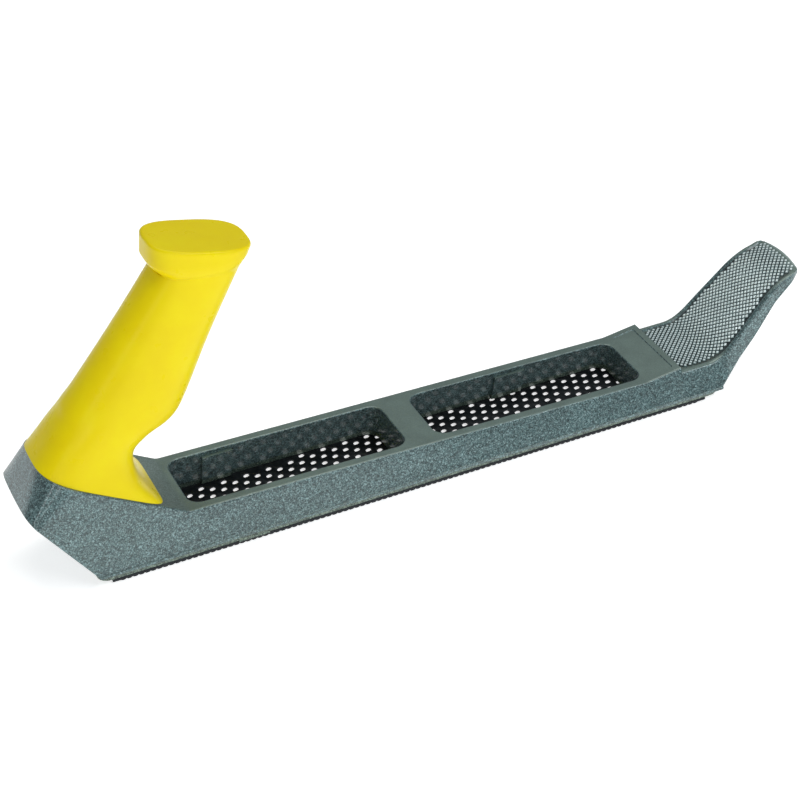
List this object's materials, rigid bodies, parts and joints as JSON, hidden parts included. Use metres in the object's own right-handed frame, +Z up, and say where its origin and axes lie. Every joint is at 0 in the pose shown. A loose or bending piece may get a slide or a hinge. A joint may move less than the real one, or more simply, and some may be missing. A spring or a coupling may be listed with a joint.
{
  "type": "wood rasp plane",
  "caption": "Flat rasp plane with a perforated toothed blade under a cast body, an up-swept knurled front horn and a leaning moulded rear handle.",
  "frame": {"origin": "middle of the whole tool's length and width, at the tips of the blade's teeth", "axes": "+X forward from the handle to the front horn, +Y to the left of a user pushing the tool forward, +Z up"},
  "size_m": [0.3174, 0.0452, 0.1226],
  "materials": {
    "hammered_paint": "fine hammered blue-grey metallic paint over a light alloy casting, satin",
    "yellow_moulding": "smooth glossy bright yellow moulded plastic",
    "black_steel": "blued, nearly black hardened sheet steel with brighter tooth edges",
    "plated_steel": "zinc plated steel, satin"
  },
  "bodies": {
    "body": {"body_casting": "hammered_paint", "handle": "yellow_moulding", "rasp_blade": "black_steel", "tension_screw_washer": "plated_steel", "handle_washer_rear": "plated_steel", "handle_screw_rear": "plated_steel", "handle_washer_front": "plated_steel", "handle_screw_front": "plated_steel"},
    "screw": {"tension_screw": "plated_steel", "tension_screw_retaining_ring": "plated_steel"},
    "tensioner": {"blade_tensioner": "plated_steel"}
  },
  "joints": [
    {"name": "tension_screw_turn", "type": "hinge", "parent": "body", "child": "screw", "pos_m": [0.11875, 0, 0.00775], "axis": [1, 0, 0], "range_deg": [0, 1800]},
    {"name": "tensioner_slide", "type": "slide", "parent": "body", "child": "tensioner", "axis": [-1, 0, 0], "range_m": [0, 0.0035]}
  ],
  "couplings": [
    {"joint": "tension_screw_turn", "follows": "tensioner_slide", "rad_per_m": 8976}
  ]
}
